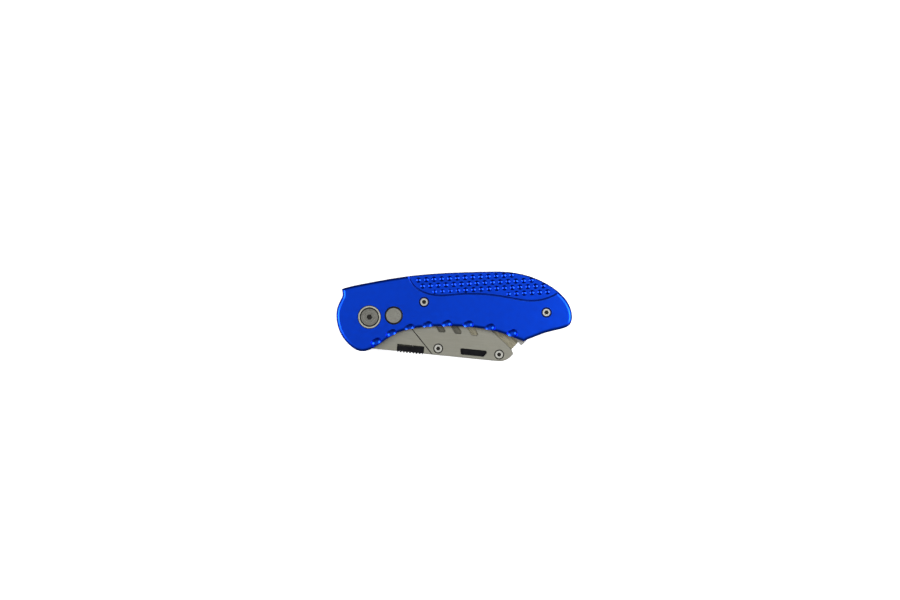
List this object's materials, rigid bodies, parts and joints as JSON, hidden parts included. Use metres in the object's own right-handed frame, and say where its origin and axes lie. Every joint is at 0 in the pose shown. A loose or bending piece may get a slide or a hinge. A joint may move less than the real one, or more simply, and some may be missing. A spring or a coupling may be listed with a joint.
{
  "type": "utility knife",
  "caption": "Folding utility knife with anodised aluminium scales, a swinging steel blade carrier, a push-button lock and a sprung blade latch.",
  "frame": {"origin": "middle of the closed knife's outline, on the rear scale's outer face", "axes": "+X along the handle towards the tail, +Y towards the grip edge, +Z out of the front scale"},
  "size_m": [0.1174, 0.0448, 0.015],
  "materials": {
    "anodised_blue": "satin blue anodised",
    "liner_steel": "brushed",
    "fastener_steel": "turned, bright",
    "carrier_steel": "bead blasted stainless",
    "blade_steel": "ground",
    "black_plastic": "moulded",
    "washer_bronze": "satin",
    "spring_steel": "drawn wire"
  },
  "bodies": {
    "handle": {"front_scale": "anodised_blue", "rear_scale": "anodised_blue", "front_liner": "liner_steel", "rear_liner": "liner_steel", "backspacer": "black_plastic", "front_bushing": "fastener_steel", "rear_bushing": "fastener_steel", "pivot_screw": "fastener_steel", "pivot_barrel": "fastener_steel", "front_washer": "washer_bronze", "rear_washer": "washer_bronze", "stop_pin": "fastener_steel", "handle_screws": "fastener_steel", "sleeve_nuts": "fastener_steel", "lock_spring": "spring_steel"},
    "lock_button": {"lock_button": "fastener_steel", "lock_plunger": "fastener_steel"},
    "carrier": {"carrier_frame": "carrier_steel", "carrier_cover": "carrier_steel", "cover_screws": "fastener_steel", "blade": "blade_steel", "latch_sleeve": "fastener_steel", "latch_spring": "spring_steel"},
    "blade_latch": {"blade_latch": "black_plastic"}
  },
  "joints": [
    {"name": "carrier_swing", "type": "hinge", "parent": "handle", "child": "carrier", "pos_m": [-0.0422, -0.0002, 0.0075], "axis": [0, 0, -1], "range_deg": [0, 170]},
    {"name": "lock_button_press", "type": "slide", "parent": "handle", "child": "lock_button", "axis": [0, 0, 1], "range_m": [0, 0.0012], "stiffness_N_per_m": 400, "deforming": ["lock_spring"]},
    {"name": "blade_latch_press", "type": "hinge", "parent": "carrier", "child": "blade_latch", "pos_m": [-0.00801, -0.0159, 0.0075], "axis": [0, 0, -1], "range_deg": [0, 2.5], "stiffness_Nm_per_rad": 0.05, "deforming": ["latch_spring"]}
  ]
}
